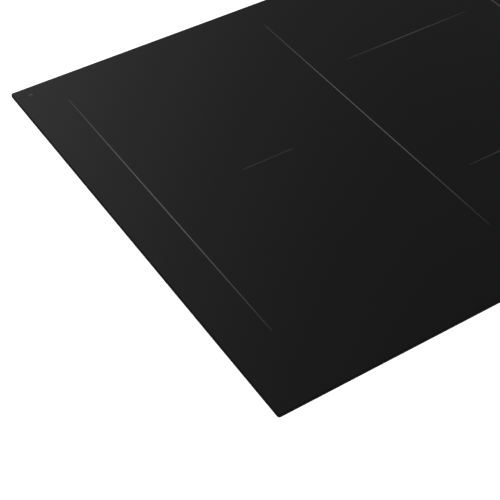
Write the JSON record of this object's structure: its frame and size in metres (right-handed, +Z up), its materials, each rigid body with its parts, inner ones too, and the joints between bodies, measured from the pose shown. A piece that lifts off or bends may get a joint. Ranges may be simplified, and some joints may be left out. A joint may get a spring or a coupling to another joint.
{
  "type": "induction cooktop",
  "caption": "Built-in induction cooktop: frameless black glass-ceramic plate with fine zone lines on a shallow stepped sheet-metal housing.",
  "frame": {"origin": "middle of the footprint, on the underside of the housing", "axes": "+X to the right, +Y from the front edge to the back, +Z up out of the glass"},
  "size_m": [0.6, 0.52, 0.056],
  "materials": {
    "glass_ceramic": "polished black glass-ceramic",
    "foam": "matt closed-cell foam",
    "silicone": "matt silicone",
    "galvanised_sheet": "zinc-coated sheet",
    "zinc_steel": "zinc-plated fasteners",
    "spring_steel": "spring steel",
    "litz_copper": "enamelled litz wire",
    "mica_sheet": "pressed mica",
    "former_plastic": "glass-filled plastic",
    "ferrite": "sintered ferrite",
    "aluminium_plate": "rolled aluminium",
    "circuit_laminate": "green solder mask",
    "component_body": "moulded components",
    "fan_plastic": "black plastic",
    "terminal_plastic": "black flame-retardant plastic",
    "terminal_polyamide": "natural polyamide",
    "brass_screw": "plain brass"
  },
  "bodies": {
    "root": {"glass_top": "glass_ceramic", "worktop_gasket": "foam", "glass_bead": "silicone", "glass_frame": "galvanised_sheet", "upper_pan": "galvanised_sheet", "lower_housing": "galvanised_sheet", "housing_screws": "zinc_steel", "board_carrier": "fan_plastic", "left_board": "circuit_laminate", "left_heat_sink": "aluminium_plate", "left_board_parts": "component_body", "right_board": "circuit_laminate", "right_heat_sink": "aluminium_plate", "right_board_parts": "component_body", "filter_board": "circuit_laminate", "filter_parts": "component_body", "left_fan_case": "fan_plastic", "right_fan_case": "fan_plastic", "touch_carrier": "terminal_plastic", "touch_board": "circuit_laminate", "touch_springs": "spring_steel", "touch_displays": "component_body", "terminal_box": "terminal_plastic", "terminal_block": "terminal_polyamide", "terminal_screws": "brass_screw", "cord_clamp_screws": "zinc_steel", "clamp_bolts": "zinc_steel", "left_front_springs": "spring_steel", "right_front_springs": "spring_steel", "left_rear_springs": "spring_steel", "right_rear_springs": "spring_steel"},
    "left_front_coil": {"left_front_mica": "mica_sheet", "left_front_winding": "litz_copper", "left_front_former": "former_plastic", "left_front_ferrites": "ferrite", "left_front_shield": "aluminium_plate"},
    "right_front_coil": {"right_front_mica": "mica_sheet", "right_front_winding": "litz_copper", "right_front_former": "former_plastic", "right_front_ferrites": "ferrite", "right_front_shield": "aluminium_plate"},
    "left_rear_coil": {"left_rear_mica": "mica_sheet", "left_rear_winding": "litz_copper", "left_rear_former": "former_plastic", "left_rear_ferrites": "ferrite", "left_rear_shield": "aluminium_plate"},
    "right_rear_coil": {"right_rear_mica": "mica_sheet", "right_rear_winding": "litz_copper", "right_rear_former": "former_plastic", "right_rear_ferrites": "ferrite", "right_rear_shield": "aluminium_plate"},
    "left_fan": {"left_fan_rotor": "fan_plastic"},
    "right_fan": {"right_fan_rotor": "fan_plastic"},
    "front_left_clamp_arm": {"front_left_clamp": "galvanised_sheet"},
    "front_right_clamp_arm": {"front_right_clamp": "galvanised_sheet"},
    "rear_left_clamp_arm": {"rear_left_clamp": "galvanised_sheet"},
    "rear_right_clamp_arm": {"rear_right_clamp": "galvanised_sheet"},
    "lid": {"terminal_lid": "terminal_plastic"},
    "cord_jaw": {"cord_clamp": "terminal_plastic"}
  },
  "joints": [
    {"name": "left_front_coil_float", "type": "slide", "parent": "root", "child": "left_front_coil", "axis": [0, 0, 1], "range_m": [-0.0015, 0], "stiffness_N_per_m": 6000, "springref_m": 0.004, "deforming": ["left_front_springs"]},
    {"name": "right_front_coil_float", "type": "slide", "parent": "root", "child": "right_front_coil", "axis": [0, 0, 1], "range_m": [-0.0015, 0], "stiffness_N_per_m": 6000, "springref_m": 0.004, "deforming": ["right_front_springs"]},
    {"name": "left_rear_coil_float", "type": "slide", "parent": "root", "child": "left_rear_coil", "axis": [0, 0, 1], "range_m": [-0.0015, 0], "stiffness_N_per_m": 6000, "springref_m": 0.004, "deforming": ["left_rear_springs"]},
    {"name": "right_rear_coil_float", "type": "slide", "parent": "root", "child": "right_rear_coil", "axis": [0, 0, 1], "range_m": [-0.0015, 0], "stiffness_N_per_m": 6000, "springref_m": 0.004, "deforming": ["right_rear_springs"]},
    {"name": "left_fan_spin", "type": "hinge", "parent": "root", "child": "left_fan", "pos_m": [-0.135, 0.115, 0.012], "axis": [0, 0, 1], "continuous": true},
    {"name": "right_fan_spin", "type": "hinge", "parent": "root", "child": "right_fan", "pos_m": [0.135, 0.115, 0.012], "axis": [0, 0, 1], "continuous": true},
    {"name": "front_left_clamp_swing", "type": "hinge", "parent": "root", "child": "front_left_clamp_arm", "pos_m": [-0.262, -0.15, 0.0207], "axis": [0, 0, 1], "range_deg": [0, 90]},
    {"name": "front_right_clamp_swing", "type": "hinge", "parent": "root", "child": "front_right_clamp_arm", "pos_m": [0.262, -0.15, 0.0207], "axis": [0, 0, -1], "range_deg": [0, 90]},
    {"name": "rear_left_clamp_swing", "type": "hinge", "parent": "root", "child": "rear_left_clamp_arm", "pos_m": [-0.262, 0.15, 0.0207], "axis": [0, 0, -1], "range_deg": [0, 90]},
    {"name": "rear_right_clamp_swing", "type": "hinge", "parent": "root", "child": "rear_right_clamp_arm", "pos_m": [0.262, 0.15, 0.0207], "axis": [0, 0, 1], "range_deg": [0, 90]},
    {"name": "terminal_lid_hinge", "type": "hinge", "parent": "root", "child": "lid", "pos_m": [-0.12, 0.2362, 0.0062], "axis": [-1, 0, 0], "range_deg": [0, 90]},
    {"name": "cord_clamp_press", "type": "slide", "parent": "root", "child": "cord_jaw", "axis": [0, 0, -1], "range_m": [0, 0.004]}
  ]
}
